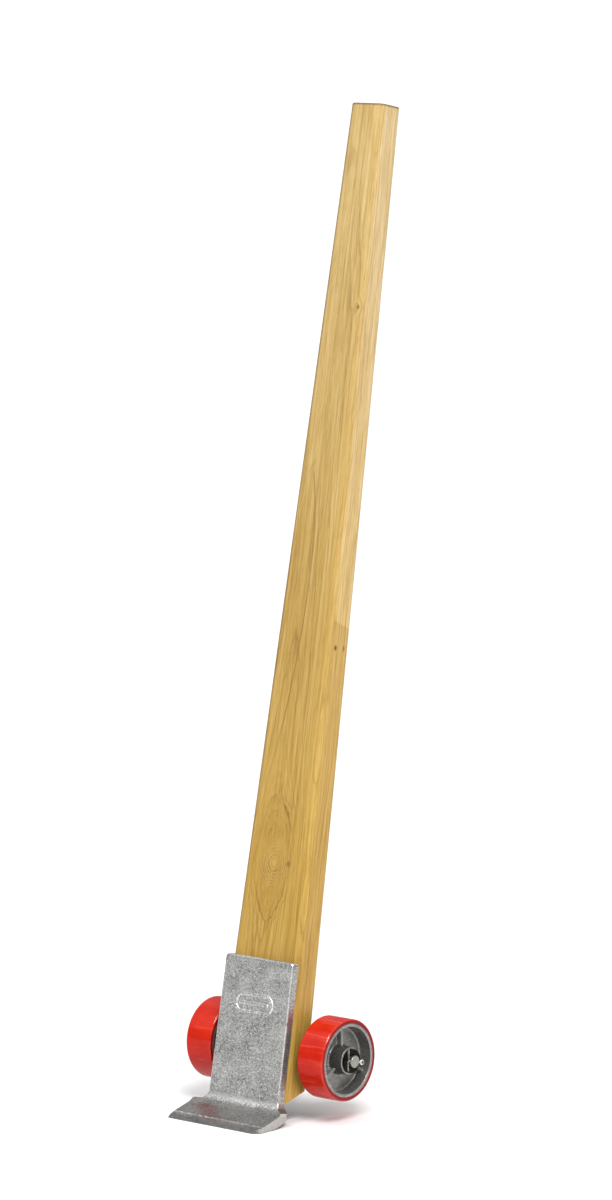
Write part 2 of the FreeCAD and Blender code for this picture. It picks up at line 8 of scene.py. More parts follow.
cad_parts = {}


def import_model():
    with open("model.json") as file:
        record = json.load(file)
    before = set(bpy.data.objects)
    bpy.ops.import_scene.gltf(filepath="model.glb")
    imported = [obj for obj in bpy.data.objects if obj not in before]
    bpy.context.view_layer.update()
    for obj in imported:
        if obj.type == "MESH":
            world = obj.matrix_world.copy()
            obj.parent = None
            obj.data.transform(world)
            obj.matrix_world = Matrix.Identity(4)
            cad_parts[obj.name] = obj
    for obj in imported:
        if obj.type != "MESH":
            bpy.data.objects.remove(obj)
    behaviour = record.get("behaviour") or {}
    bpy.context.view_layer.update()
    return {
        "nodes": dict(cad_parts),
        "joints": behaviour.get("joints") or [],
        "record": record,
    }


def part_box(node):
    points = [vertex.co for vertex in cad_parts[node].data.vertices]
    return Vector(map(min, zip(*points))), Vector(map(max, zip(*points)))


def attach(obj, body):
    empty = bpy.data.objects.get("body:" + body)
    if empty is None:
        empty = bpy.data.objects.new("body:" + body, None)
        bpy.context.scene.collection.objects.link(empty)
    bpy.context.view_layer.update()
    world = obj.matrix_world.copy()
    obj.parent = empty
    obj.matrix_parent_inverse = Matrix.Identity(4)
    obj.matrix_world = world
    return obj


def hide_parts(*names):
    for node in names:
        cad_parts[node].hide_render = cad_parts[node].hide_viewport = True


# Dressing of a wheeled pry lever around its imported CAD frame. Metres, in the row frame: +Z up, -Y out past
# the lip's tip, +X to the right seen from the lip.

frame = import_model()
NODES = frame["nodes"]

LEAN = math.radians(10.3)                       # the handle leans back from the vertical
UP = Vector((0, math.sin(LEAN), math.cos(LEAN)))        # along the handle
AXLE = Vector(next(j["pos_m"] for j in frame["joints"] if j["name"] == "wheel_right_spin"))
LIP_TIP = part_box("nose_casting")[0][1]          # how far forward the lip's tip is
FRONT_FACE = -0.0597                            # the handle's front face: how deep it lies, from the axle
SIDES = ("right", "left")

# the handle's vertices as (along, half width) from the axle, its two ends, and its half widths
HANDLE_POINTS = [((v.co - AXLE).dot(UP), abs(v.co.x)) for v in NODES["handle"].data.vertices]
HANDLE_TOP = max(along for along, x in HANDLE_POINTS)
HANDLE_FOOT = min(along for along, x in HANDLE_POINTS)
HALF_AT_TOP = max(x for along, x in HANDLE_POINTS if along > 0.98 * HANDLE_TOP)
HALF_AT_FOOT = max(x for along, x in HANDLE_POINTS if along < 0.0)
HALF_AT_AXLE = HALF_AT_FOOT - (HALF_AT_TOP - HALF_AT_FOOT) * HANDLE_FOOT / (HANDLE_TOP - HANDLE_FOOT)


# ---- node materials ------------------------------------------------------------------------------
class Paint:
    """One procedural material. Every method that makes a node returns its output socket."""

    def __init__(self, name, **constants):
        self.material = bpy.data.materials.new(name)
        self.material.use_nodes = True
        self.tree = self.material.node_tree
        self.tree.nodes.clear()
        self.shader = self.tree.nodes.new("ShaderNodeBsdfPrincipled")
        output = self.tree.nodes.new("ShaderNodeOutputMaterial")
        self.tree.links.new(self.shader.outputs[0], output.inputs["Surface"])
        self.set(**constants)
        self.here = self.node("TexCoord", {}, "Object")         # the point on the object, in the row frame
        self.facing = self.node("TexCoord", {}, "Normal")       # the way that the surface faces

    def set(self, **values):
        """Sets the shader's sockets, by name with underscores for spaces."""
        for name, value in values.items():
            self.put(self.shader.inputs[name.replace("_", " ")], value)

    def put(self, socket, value):
        if isinstance(value, bpy.types.NodeSocket):
            self.tree.links.new(value, socket)
        elif isinstance(value, tuple) and socket.type == "RGBA":
            socket.default_value = (*value, 1.0)
        else:
            socket.default_value = value

    def node(self, kind, inputs, output=0, **settings):
        made = self.tree.nodes.new("ShaderNode" + kind)
        for name, value in settings.items():
            setattr(made, name, value)
        for name, value in inputs.items():
            self.put(made.inputs[name], value)
        return made.outputs[output]

    def math(self, operation, a, b=0.0, clamp=False):
        return self.node("Math", {0: a, 1: b}, operation=operation, use_clamp=clamp)

    def add(self, value, *others):
        for other in others:
            value = self.math("ADD", value, other)
        return value

    def times(self, value, *others):
        for other in others:
            value = self.math("MULTIPLY", value, other)
        return value

    def highest(self, value, *others):
        for other in others:
            value = self.math("MAXIMUM", value, other)
        return value

    def absolute(self, value):
        return self.math("ABSOLUTE", value)

    def length(self, u, v):
        return self.math("SQRT", self.add(self.times(u, u), self.times(v, v)))

    def swing(self, value, size):
        """A noise's swing about its middle, times a size."""
        return self.times(self.add(value, -0.5), size)

    def range(self, value, low, high, to_low=0.0, to_high=1.0, smooth=False):
        kind = "SMOOTHSTEP" if smooth else "LINEAR"
        return self.node("MapRange", {"Value": value, "From Min": low, "From Max": high,
                                      "To Min": to_low, "To Max": to_high}, interpolation_type=kind)

    def thin_line(self, value, outer, inner):
        """1 where a value is within inner of 0, and 0 where it is further than outer from 0."""
        return self.range(self.absolute(value), outer, inner, smooth=True)

    def scaled(self, vector, factors):
        return self.node("VectorMath", {0: vector, 1: factors}, operation="MULTIPLY")

    def from_axle(self, point):
        """The way from the axle's middle to a point."""
        return self.node("VectorMath", {0: point, 1: AXLE}, operation="SUBTRACT")

    def combine(self, x, y, z):
        return self.node("CombineXYZ", {0: x, 1: y, 2: z})

    def split(self, vector):
        node = self.tree.nodes.new("ShaderNodeSeparateXYZ")
        self.put(node.inputs[0], vector)
        return list(node.outputs)

    def noise(self, vector, scale, detail, roughness=0.5):
        return self.node("TexNoise", {"Vector": vector, "Scale": scale, "Detail": detail,
                                      "Roughness": roughness})

    def mix(self, factor, a, b, blend="MIX"):
        made = self.tree.nodes.new("ShaderNodeMix")
        made.data_type = "RGBA"
        made.blend_type = blend
        self.put(made.inputs["Factor"], factor)
        self.put(made.inputs[6], a)
        self.put(made.inputs[7], b)
        return made.outputs[2]

    def tint(self, factor, colour, by):
        return self.mix(factor, colour, by, "MULTIPLY")

    def ramp(self, factor, *stops):
        """A colour ramp from (position, colour) stops."""
        made = self.tree.nodes.new("ShaderNodeValToRGB")
        self.put(made.inputs[0], factor)
        elements = made.color_ramp.elements
        while len(elements) < len(stops):
            elements.new(0.5)
        for element, (position, colour) in zip(elements, stops):
            element.position = position
            element.color = (*colour, 1.0)
        return made.outputs[0]

    def bump(self, height, strength, distance):
        return self.node("Bump", {"Height": height, "Strength": strength, "Distance": distance})


def shade(colour, factor):
    return tuple(min(1.0, part * factor) for part in colour)


# ---- wood ----------------------------------------------------------------------------------------
EARLY_WOOD, MIDDLE_WOOD, LATE_WOOD = (0.490, 0.320, 0.080), (0.425, 0.258, 0.049), (0.325, 0.182, 0.028)
RING_LINE = (0.185, 0.086, 0.013)
KNOT_WOOD = (0.085, 0.036, 0.011)
END_GRAIN = (0.105, 0.050, 0.020)
# tints that the wood's colour is multiplied by
UPPER_TINT = (1.060, 1.200, 2.200)              # at the upper end
SAPWOOD_TINT = (1.060, 1.060, 1.060)            # along the right-hand edge
LOWER_SIDE_TINT = (1.025, 1.005, 0.985)         # on the side face, below and above its change of tone
UPPER_SIDE_TINT = (1.215, 1.280, 1.680)

PITH_ACROSS, PITH_BEHIND = -0.016, 0.078        # the log's middle: across, and behind the front face
RING_CLIMB = 0.026                              # how far the rings move in over the way along the handle
RINGS_PER_METRE = 235.0

# marks on the front face, as (across, along) from the axle
EYE = (-0.0095, 0.2880)                         # the middle of the oval of rings round the knot
AROUND_EYE = (0.045, 0.120)                     # half the oval's width and height
KNOT = (-0.0052, 0.2850)
KNOT_RINGS_PER_METRE = 205.0
PIN_KNOT, UPPER_KNOT = (0.0235, 0.2862), (0.0313, 1.1470)
FIGURE_MIDDLE = (-0.0095, 0.2915)               # the shield-shaped figure that holds the knot
FIGURE_HALF_WIDTH, FIGURE_HALF_HEIGHT = 0.034, 0.0985
FIGURE_RINGS_PER_METRE = 215.0
VEIN_MIDDLE = (-0.0014, 0.7535)
VEIN_BENDS = (0.90, 0.30)                       # shift to the left over the square of the way up, and down
FLAME_TIP = (-0.0225, 0.897)
FLAME_SPREAD = 0.19                             # the left edge's shift over the way down from the tip
# bulges of the rings: place, half width and half height, and what they add to the distance through the log
BULGES = ((EYE, (0.036, 0.095), -0.0200),
          (PIN_KNOT, (0.0060, 0.0080), -0.0075),
          (UPPER_KNOT, (0.0055, 0.0110), -0.0045),
          ((-0.024, 0.845), (0.014, 0.078), -0.0065),
          ((-0.020, 1.135), (0.012, 0.070), -0.0050))
# hearts of knots: place, radius and strength; on the side face the place is (deep, along)
PALE_HEART = (KNOT, 0.0075, 0.30)
FRONT_HEARTS = ((PIN_KNOT, 0.0052, 0.55), (UPPER_KNOT, 0.0038, 0.70))
SIDE_HEARTS = (((-0.0458, 0.6235), 0.0046, 1.00), ((-0.0262, 0.6235), 0.0042, 0.60))


class Wood(Paint):
    """The handle's paint. It holds the noises that the marks share, and each point's place from the axle:
    across to the right, deep towards the handle's back, and along it upwards."""

    def __init__(self, name, **constants):
        super().__init__(name, **constants)
        upright = self.node("VectorRotate", {"Vector": self.here, "Center": AXLE, "Angle": LEAN},
                            rotation_type="X_AXIS")
        self.across, self.deep, self.along = self.split(self.from_axle(upright))
        self.on_front = self.range(self.deep, FRONT_FACE + 0.030, FRONT_FACE + 0.012)
        self.sway = self.long_noise(0.045, 26.0, 2.0, 0.45)
        self.waver = self.long_noise(0.35, 95.0, 3.0, 0.55)
        self.fibres = self.long_noise(0.012, 330.0, 4.0, 0.70)
        self.flecks = self.long_noise(0.06, 620.0, 2.0, 0.60)
        self.around_eye = self.bell(EYE, AROUND_EYE)

    def long_noise(self, squeeze, scale, detail, roughness=0.5):
        """Noise that is drawn out along the handle: places are squeezed together along it first."""
        place = self.combine(self.across, self.deep, self.times(self.along, squeeze))
        return self.noise(place, scale, detail, roughness)

    def away_from(self, place):
        """How far a point is from a place on the front face, across and along."""
        return self.add(self.across, -place[0]), self.add(self.along, -place[1])

    def bell(self, place, size):
        """1 at a place on the front face, falling off to 0 around it."""
        u, v = self.away_from(place)
        u = self.math("DIVIDE", u, size[0])
        v = self.math("DIVIDE", v, size[1])
        fall = self.add(self.times(u, u), self.times(v, v))
        return self.times(self.math("EXPONENT", self.times(fall, -1.0)), self.on_front)


def growth_rings(p):
    """Distance out through the log: shells about a pith that lies behind the beam and drifts as it rises."""
    drift = p.noise(p.combine(0.0, 0.0, p.along), 3.1, 2.0)
    pith_across = p.add(p.swing(drift, 0.030), PITH_ACROSS)
    side = p.math("SUBTRACT", p.across, pith_across)
    behind = p.math("SUBTRACT", p.deep, FRONT_FACE + PITH_BEHIND)
    ring = p.add(p.length(side, behind), p.times(p.along, RING_CLIMB), p.swing(p.sway, 0.013))
    for place, size, push in BULGES:
        ring = p.add(ring, p.times(p.bell(place, size), push))
    return p.add(ring, p.swing(p.waver, p.range(p.around_eye, 0.0, 1.0, 0.0018, 0.0085)))


def knot_rings(p):
    """The burl round the knot's heart, and the dark lines of its nearly round rings."""
    u, v = p.away_from(KNOT)
    radius = p.add(p.length(p.times(u, 1.18), v), p.swing(p.waver, 0.0130))
    burl = p.times(p.range(radius, 0.044, 0.026, smooth=True), p.on_front)
    lines = p.math("POWER", p.math("FRACT", p.times(radius, KNOT_RINGS_PER_METRE)), 1.2)
    lines = p.times(lines, p.range(radius, 0.004, 0.012), p.range(v, 0.016, -0.010, 0.75, 1.30))
    return burl, lines


def shield_figure(p):
    """The figure that holds the knot: its area, its ragged dark outlines, and the rings nested in it."""
    u, v = p.away_from(FIGURE_MIDDLE)
    height = p.math("DIVIDE", v, FIGURE_HALF_HEIGHT)
    lens = p.math("SUBTRACT", 1.0, p.times(height, height), clamp=True)
    reach = p.times(p.math("POWER", lens, 0.75), FIGURE_HALF_WIDTH)
    inside = p.add(p.math("SUBTRACT", reach, p.absolute(u)), p.swing(p.waver, 0.0190))
    near = p.times(p.range(p.absolute(height), 1.30, 1.05), p.on_front)
    area = p.times(p.range(inside, 0.0, 0.006), near)

    # a dark outline and a fainter one around it, strongest low down and at the upper right
    outer = p.times(p.thin_line(p.add(inside, 0.0085), 0.0020, 0.0003), 0.45)
    outline = p.times(p.highest(p.thin_line(inside, 0.0030, 0.0004), outer), near)
    upper_right = p.times(p.range(height, 0.30, 0.55), p.range(p.across, -0.014, -0.004))
    outline = p.times(outline, p.highest(p.range(height, -0.30, -0.62, 0.34, 0.80), upper_right))

    nested = p.math("POWER", p.math("FRACT", p.times(inside, FIGURE_RINGS_PER_METRE)), 2.2)
    nested = p.times(nested, area, p.range(p.absolute(p.add(height, 0.15)), 0.15, 0.40))
    return area, outline, nested


def vein_and_flame(p):
    """A long dark vein, bent to the left at both ends, and the flame whose right edge it is."""
    u, v = p.away_from(VEIN_MIDDLE)
    risen = p.highest(v, 0.0)
    fallen = p.highest(p.times(v, -1.0), 0.0)
    bend_reflection = p.add(p.times(risen, risen, VEIN_BENDS[0]), p.times(fallen, fallen, VEIN_BENDS[1]))
    right_of_vein = p.add(bend_reflection, u, p.swing(p.waver, 0.0016))
    below_tip = p.times(p.range(p.along, FLAME_TIP[1], FLAME_TIP[1] - 0.012), p.on_front)
    vein = p.times(p.thin_line(right_of_vein, 0.0024, 0.0004), p.range(p.along, 0.41, 0.50), below_tip)

    u, v = p.away_from(FLAME_TIP)
    flame = p.range(p.add(u, p.times(v, -FLAME_SPREAD)), 0.0, 0.002)
    flame = p.times(flame, p.range(right_of_vein, 0.0, -0.002), p.range(p.along, 0.58, 0.74), below_tip)
    return vein, flame


def season_lines(p, ring, shell):
    """Dark late-season lines of varying strength, clearer round the knot."""
    season = p.math("FRACT", p.times(ring, RINGS_PER_METRE))
    line = p.add(p.math("POWER", season, 6.5), p.times(p.range(season, 0.12, 0.0), 0.6))
    chosen = p.range(p.noise(shell, 110.0, 1.0), 0.40, 0.62, 0.15, 1.0, smooth=True)
    return p.times(line, p.highest(chosen, p.times(p.around_eye, 0.55)))


def face_tints(p, colour):
    """Paler wood at the upper end, sapwood up the right-hand edge, the side face's change of tone, and
    painted shade on the left front corner.
    """
    colour = p.tint(p.range(p.along, 0.30, 1.22), colour, UPPER_TINT)
    half_width = p.range(p.along, 0.0, HANDLE_TOP, HALF_AT_AXLE, HALF_AT_TOP)
    inset = p.add(p.math("SUBTRACT", half_width, p.across), p.swing(p.sway, 0.012))
    colour = p.tint(p.range(inset, 0.034, 0.016, smooth=True), colour, SAPWOOD_TINT)
    facing_right, facing_back = p.split(p.facing)[:2]
    on_side = p.range(facing_right, 0.86, 0.98, smooth=True)
    change = p.range(p.add(p.along, p.times(p.deep, 0.31)), 0.6465, 0.6510, smooth=True)
    colour = p.tint(on_side, colour, p.mix(change, LOWER_SIDE_TINT, UPPER_SIDE_TINT))

    # painted shade: the rounded left front corner, turned away from the light, is darkened towards the knot
    # wood's colour
    painted_left_corner_shade = p.times(p.range(facing_right, -0.06, -0.45, smooth=True), p.range(facing_back, -0.15, -0.45))
    return p.mix(p.times(painted_left_corner_shade, 0.46), colour, KNOT_WOOD)


def knot_hearts(p, colour, fine):
    """The pale heart of the knot, and the small dark hearts of the pin knots."""
    def heart(first, face, place, radius, strength):
        u = p.add(first, -place[0])
        v = p.times(p.add(p.along, -place[1]), 0.7)
        reach = p.add(p.length(u, v), p.swing(fine, radius * 1.3))
        return p.times(p.range(reach, radius, radius * 0.2, smooth=True), face, strength)

    on_side = p.range(p.across, 0.030, 0.040)
    dark = [heart(p.across, p.on_front, *values) for values in FRONT_HEARTS]
    dark += [heart(p.deep, on_side, *values) for values in SIDE_HEARTS]
    colour = p.mix(heart(p.across, p.on_front, *PALE_HEART), colour, EARLY_WOOD)
    return p.mix(p.highest(*dark), colour, KNOT_WOOD)


def sawn_ends(p):
    """1 on the handle's sawn ends, which drink the lacquer and go dark, and on the rim of the upper one."""
    facing_up = p.node("VectorMath", {0: p.facing, 1: UP}, 1, operation="DOT_PRODUCT")
    rim = p.range(p.add(p.along, p.swing(p.flecks, 0.004)), HANDLE_TOP - 0.0042, HANDLE_TOP - 0.0014)
    return p.highest(p.range(p.absolute(facing_up), 0.25, 0.80, smooth=True), rim)


def hardwood():
    """Planed hardwood under lacquer. Its rings are curved shells, so every face is cut from one log."""
    p = Wood("lacquered_hardwood", Coat_Weight=0.22, Coat_Roughness=0.22, IOR=1.46, Specular_IOR_Level=0.35)
    ring = growth_rings(p)
    burl, knot_lines = knot_rings(p)
    figure, outline, nested = shield_figure(p)
    vein, flame = vein_and_flame(p)

    # uneven seasons: broad bands and finer bands inside them
    shell = p.combine(ring, 0.0, p.times(p.along, 0.02))
    broad = p.noise(shell, 120.0, 2.0)
    fine = p.noise(shell, 560.0, 3.0, 0.6)
    patch = p.long_noise(0.3, 9.0, 2.0)

    line = p.times(season_lines(p, ring, shell),
                   p.math("SUBTRACT", 1.0, p.highest(burl, p.times(figure, 0.65))))
    line = p.add(line, p.times(nested, p.math("SUBTRACT", 1.0, burl), 0.60), p.times(knot_lines, burl, 0.90))
    line = p.times(line, p.range(p.waver, 0.30, 0.60, 0.45, 1.0))
    line = p.highest(line, outline, p.times(vein, 0.82))

    tone = p.add(p.range(broad, 0.0, 1.0, 0.07, 0.43), p.times(fine, 0.34),
                 p.swing(p.fibres, p.range(figure, 0.0, 1.0, 1.15, 0.45)), p.swing(p.flecks, 0.46),
                 p.times(figure, 0.030), p.times(burl, -0.130), p.times(flame, 0.085), p.swing(patch, 0.12))
    colour = p.ramp(tone, (0.20, EARLY_WOOD), (0.42, MIDDLE_WOOD), (0.64, LATE_WOOD))
    colour = p.mix(p.times(line, 0.72), colour, RING_LINE)
    colour = knot_hearts(p, face_tints(p, colour), fine)
    end = sawn_ends(p)
    p.set(Base_Color=p.mix(p.times(end, 0.85), colour, END_GRAIN))
    p.set(Roughness=p.range(p.add(p.fibres, p.times(end, 0.6)), 0.2, 1.1, 0.34, 0.66))
    p.set(Normal=p.bump(p.add(p.times(p.fibres, 0.6), p.times(line, 0.8)), 0.25, 0.0004))
    return p.material


# ---- cast metal ----------------------------------------------------------------------------------
GRAINS_PER_METRE = 640.0
ZINC_DARK, ZINC_LIGHT = (0.175, 0.175, 0.170), (0.740, 0.740, 0.718)
IRON_DARK, IRON_LIGHT = (0.116, 0.114, 0.108), (0.352, 0.344, 0.326)
PAINTED_BEND_REFLECTION, PAINTED_RIDGE_HIGHLIGHT = (0.860, 0.860, 0.840), (0.900, 0.890, 0.860)
PAINTED_CORNER_HIGHLIGHT, SHEARED_AND_LIT_SIDE = (0.930, 0.925, 0.905), (0.800, 0.785, 0.760)
LIP_METAL, TIP_SHADE, SIDE_REFLECTION_AND_SHADE = (0.085, 0.077, 0.073), (0.050, 0.048, 0.045), (0.150, 0.125, 0.124)
CREASE_SHADE, RECESS_SHADE = (0.035, 0.030, 0.026), (0.028, 0.027, 0.025)
LIP_CREASE, LIP_RIDGE = LIP_TIP + 0.0173, LIP_TIP + 0.0148      # lines across the lip where its bevel starts
TIP_HEIGHT, LIP_HEIGHT, BEND_HEIGHT = 0.0045, 0.016, 0.036      # how high the marks of each of them go: the tip's painted shade, the lip's darker metal, the bend's painted reflection
HUB_RADIUS, RIM_RADIUS = 0.0228, 0.0500         # painted shade within the first, and on the rim beyond the second


def cast_metal(name, dark, light, surface_marks, metallic, roughness, edge, glints):
    """As-cast surface: a fine crystalline grain, blotches, pits, painted glints, and edges lightened, partly
    rubbed wear and partly painted highlight.
    """
    p = Paint(name, Metallic=metallic)
    blotch = p.noise(p.here, 34.0, 2.0)
    grains = p.noise(p.here, GRAINS_PER_METRE * 0.86, 2.0, 0.60)
    cells = p.node("TexVoronoi", {"Vector": p.here, "Scale": GRAINS_PER_METRE * 0.90, "Randomness": 1.0},
                   "Color")
    sparkle, glint = p.split(cells)[:2]
    tone = p.add(p.swing(grains, 0.54), p.swing(blotch, 0.52), p.swing(sparkle, 0.47))
    colour = p.mix(p.range(tone, -0.34, 0.34), dark, light)
    pits = p.range(p.noise(p.here, GRAINS_PER_METRE * 0.33, 3.0, 0.6), 0.39, 0.30, smooth=True)
    pits = p.times(pits, p.range(blotch, 0.56, 0.40), 0.80)
    colour = p.mix(pits, colour, shade(dark, 0.25))

    # painted glints: a few scattered grains are lightened as if catching the light
    painted_glints = p.times(p.range(glint, 0.86, 0.96, smooth=True), glints, 0.55)
    # convex edges lightened: partly rubbed wear, partly painted edge highlight
    edge_wear_and_highlight = p.range(p.node("NewGeometry", {}, "Pointiness"), 0.515, 0.57, smooth=True)
    edge_wear_and_highlight = p.times(edge_wear_and_highlight, p.range(grains, 0.25, 0.50), edge)
    glints_and_edges = p.highest(painted_glints, edge_wear_and_highlight)
    colour = p.mix(glints_and_edges, colour, shade(light, 1.7))
    p.set(Base_Color=surface_marks(p, colour, grains))
    rough = p.range(p.add(grains, p.times(sparkle, 0.5)), 0.35, 1.05, roughness + 0.12, roughness - 0.12)
    p.set(Roughness=p.math("SUBTRACT", rough, p.times(glints_and_edges, 0.12)))
    p.set(Normal=p.bump(grains, 0.45, 0.0006))
    return p.material


def nose_marks_and_painted_light(p, colour, grains):
    """The lip is darker, with painted shade at its tip and crease and a painted highlight on its ridge;
    painted reflection at the bend; painted highlights on the plate's corners; painted reflection and shade on
    the side faces, which are lighter low down, partly sheared metal and partly painted light.
    """
    height = p.split(p.here)[2]
    facing_across, facing_up = p.split(p.facing)[::2]
    low = p.range(height, BEND_HEIGHT + 0.010, BEND_HEIGHT, smooth=True)
    # painted reflection: a band across the bend, where it turns up towards the bright ceiling, is lightened
    bend_reflection = p.times(p.range(facing_up, 0.20, 0.32, smooth=True), p.range(facing_up, 0.66, 0.42, smooth=True))
    bend_reflection = p.times(bend_reflection, low, p.range(height, LIP_HEIGHT - 0.003, LIP_HEIGHT + 0.002),
                   p.range(grains, 0.25, 0.60, 0.10, 0.45))
    colour = p.mix(bend_reflection, colour, PAINTED_BEND_REFLECTION)
    lip = p.times(p.range(facing_up, 0.50, 0.80, smooth=True), low)
    lip = p.highest(lip, p.range(height, LIP_HEIGHT + 0.004, LIP_HEIGHT, smooth=True))
    colour = lip_marks_and_painted_light(p, colour, grains, lip)

    # painted highlight on the plate's rounded front corners, above the bend
    sideways = p.absolute(facing_across)
    corner_highlight = p.times(p.range(sideways, 0.28, 0.48, smooth=True), p.range(sideways, 0.86, 0.66, smooth=True))
    corner_highlight = p.times(corner_highlight, p.range(height, BEND_HEIGHT + 0.004, BEND_HEIGHT + 0.019),
                     p.range(grains, 0.35, 0.60, 0.25, 0.90))
    colour = p.mix(corner_highlight, colour, PAINTED_CORNER_HIGHLIGHT)
    # painted reflection and shade: faces turned sideways are darkened towards a reddish brown, as the wood
    # beside them is mirrored in them
    side_faces = p.range(sideways, 0.72, 0.95, smooth=True)
    colour = p.mix(p.times(side_faces, 0.36), colour, SIDE_REFLECTION_AND_SHADE)
    # below the bend the side faces are lightened: partly bright sheared metal, partly painted light
    low_sides_sheared_and_lit = p.times(side_faces, p.range(height, BEND_HEIGHT, BEND_HEIGHT - 0.010, 0.0, 0.42))
    return p.mix(low_sides_sheared_and_lit, colour, SHEARED_AND_LIT_SIDE)


def lip_marks_and_painted_light(p, colour, grains, lip):
    """Darker metal on the lip, with painted shade at its tip and along the crease, and a painted highlight on
    the ridge before it.
    """
    back, height = p.split(p.here)[1:]
    colour = p.mix(p.times(lip, 0.61), colour, LIP_METAL)
    # painted shade: the lip's lowest few millimetres, its bevelled nose, are darkened
    tip_shade = p.range(p.add(height, p.swing(grains, 0.004)), TIP_HEIGHT + 0.004, TIP_HEIGHT, smooth=True)
    colour = p.mix(p.times(tip_shade, 0.45), colour, TIP_SHADE)
    # painted shade: a broken dark line across the lip along the crease where the bevel starts
    crease = p.range(p.absolute(p.add(back, -LIP_CREASE)), 0.0017, 0.0006)
    crease = p.times(crease, p.range(p.noise(p.here, 210.0, 2.0), 0.42, 0.56), lip, 0.75)
    colour = p.mix(crease, colour, CREASE_SHADE)
    # painted highlight: a broken light line across the lip just before the crease
    ridge_highlight = p.range(p.absolute(p.add(back, -LIP_RIDGE)), 0.0026, 0.0008)
    ridge_highlight = p.times(ridge_highlight, p.range(grains, 0.40, 0.62), lip, 0.85)
    ridge_highlight = p.times(ridge_highlight, p.range(p.noise(p.here, 90.0, 2.0), 0.35, 0.60, 0.3, 1.0))
    return p.mix(ridge_highlight, colour, PAINTED_RIDGE_HIGHLIGHT)


def axle_distance(p):
    """The distance from the axle's line."""
    back, height = p.split(p.from_axle(p.here))[1:]
    return p.length(back, height)


def centre_recess_shade(p, colour, grains):
    """Painted shade: the walls of the wheel centre's hub and of the inside of its rim are darkened."""
    radius = axle_distance(p)
    turned_in = p.range(p.absolute(p.split(p.facing)[0]), 0.75, 0.35, smooth=True)
    hub = p.times(p.range(radius, HUB_RADIUS + 0.0017, HUB_RADIUS), turned_in, 0.62)
    rim = p.times(p.range(radius, RIM_RADIUS - 0.0015, RIM_RADIUS), turned_in, 0.36)
    return p.mix(p.highest(hub, rim), colour, RECESS_SHADE)


# ---- tyres and steel -----------------------------------------------------------------------------
DEEP_RED, CLEAR_RED, SIDE_WALL_SHADE = (0.455, 0.0100, 0.0030), (0.545, 0.0200, 0.0045), (0.110, 0.0050, 0.0080)
GRIME, PALE_SCUFF_AND_REFLECTION, DARK_SCUFF_AND_REFLECTION = (0.130, 0.008, 0.005), (0.800, 0.105, 0.070), (0.330, 0.008, 0.006)
PAINTED_WIRE_HIGHLIGHT = (0.900, 0.890, 0.850)
AXLE_RADIUS = 0.0095


def polyurethane():
    """Moulded red polyurethane: glossy, with faint flow marks, a dusting of grime in its pores, streaks that
    are scuffs and painted reflection bands, and painted shade on its side walls.
    """
    p = Paint("red_polyurethane", IOR=1.45, Specular_IOR_Level=0.04, Coat_Roughness=0.02)
    cloud = p.noise(p.here, 22.0, 3.0, 0.55)
    fine = p.noise(p.here, 380.0, 2.0)
    colour = p.mix(p.range(cloud, 0.35, 0.68), DEEP_RED, CLEAR_RED)
    grime = p.range(p.noise(p.here, 75.0, 5.0, 0.7), 0.58, 0.74, smooth=True)
    colour = p.mix(p.times(grime, 0.26), colour, GRIME)
    # streaks along the tread, pale and dark: scuffs, and also painted reflection bands
    scuffs_and_reflection_streaks = p.noise(p.scaled(p.here, (0.07, 1.0, 1.0)), 150.0, 3.0, 0.6)
    colour = p.mix(p.range(scuffs_and_reflection_streaks, 0.56, 0.72, 0.0, 0.30, smooth=True), colour, PALE_SCUFF_AND_REFLECTION)
    colour = p.mix(p.range(scuffs_and_reflection_streaks, 0.44, 0.30, 0.0, 0.30, smooth=True), colour, DARK_SCUFF_AND_REFLECTION)
    # painted shade: faces turned sideways, the side walls, are darkened to a deep red
    sideways = p.absolute(p.split(p.facing)[0])
    p.set(Base_Color=p.mix(p.range(sideways, 0.80, 0.97, 0.0, 0.75), colour, SIDE_WALL_SHADE))
    shoulder = p.times(p.range(sideways, 0.15, 0.40), p.range(sideways, 0.97, 0.80))
    p.set(Coat_Weight=p.range(shoulder, 0.0, 1.0, 0.30, 0.90))
    p.set(Roughness=p.add(p.range(fine, 0.3, 0.7, 0.24, 0.32), p.times(grime, 0.2)))
    p.set(Normal=p.bump(p.add(p.times(cloud, 0.8), p.times(fine, 0.04)), 0.04, 0.002))
    return p.material


def wire_highlight(p, colour):
    """The cotter pins' wire, outside the axle, is paler than the axle: partly its own brighter metal, partly
    a painted highlight.
    """
    return p.mix(p.range(axle_distance(p), AXLE_RADIUS + 0.0003, AXLE_RADIUS + 0.0008), colour, PAINTED_WIRE_HIGHLIGHT)


def steel(name, colour, roughness, stretch=(1.0, 1.0, 1.0), dirt=0.35, touch=None):
    """Machined or plated steel: directional scratches, stains and slightly uneven plating."""
    p = Paint(name, Metallic=1.0)
    lines = p.noise(p.scaled(p.here, stretch), 260.0, 4.0, 0.6)
    stain = p.noise(p.here, 45.0, 4.0, 0.6)
    plated = p.mix(p.range(stain, 0.38, 0.66), shade(colour, 1 - dirt), colour)
    plated = p.mix(p.range(lines, 0.25, 0.75, 0.0, 0.28), plated, shade(colour, 1.3))
    p.set(Base_Color=touch(p, plated) if touch else plated)
    p.set(Roughness=p.add(p.range(lines, 0.3, 0.7, roughness - 0.06, roughness + 0.08), p.times(stain, 0.1)))
    p.set(Normal=p.bump(lines, 0.16, 0.0003))
    return p.material


def studio_floor():
    """Plain matt white, very slightly uneven."""
    p = Paint("studio_floor", Roughness=0.9, Specular_IOR_Level=0.1)
    p.set(Base_Color=p.mix(p.noise(p.here, 0.7, 2.0), (0.87, 0.87, 0.87), (0.89, 0.89, 0.89)))
    return p.material


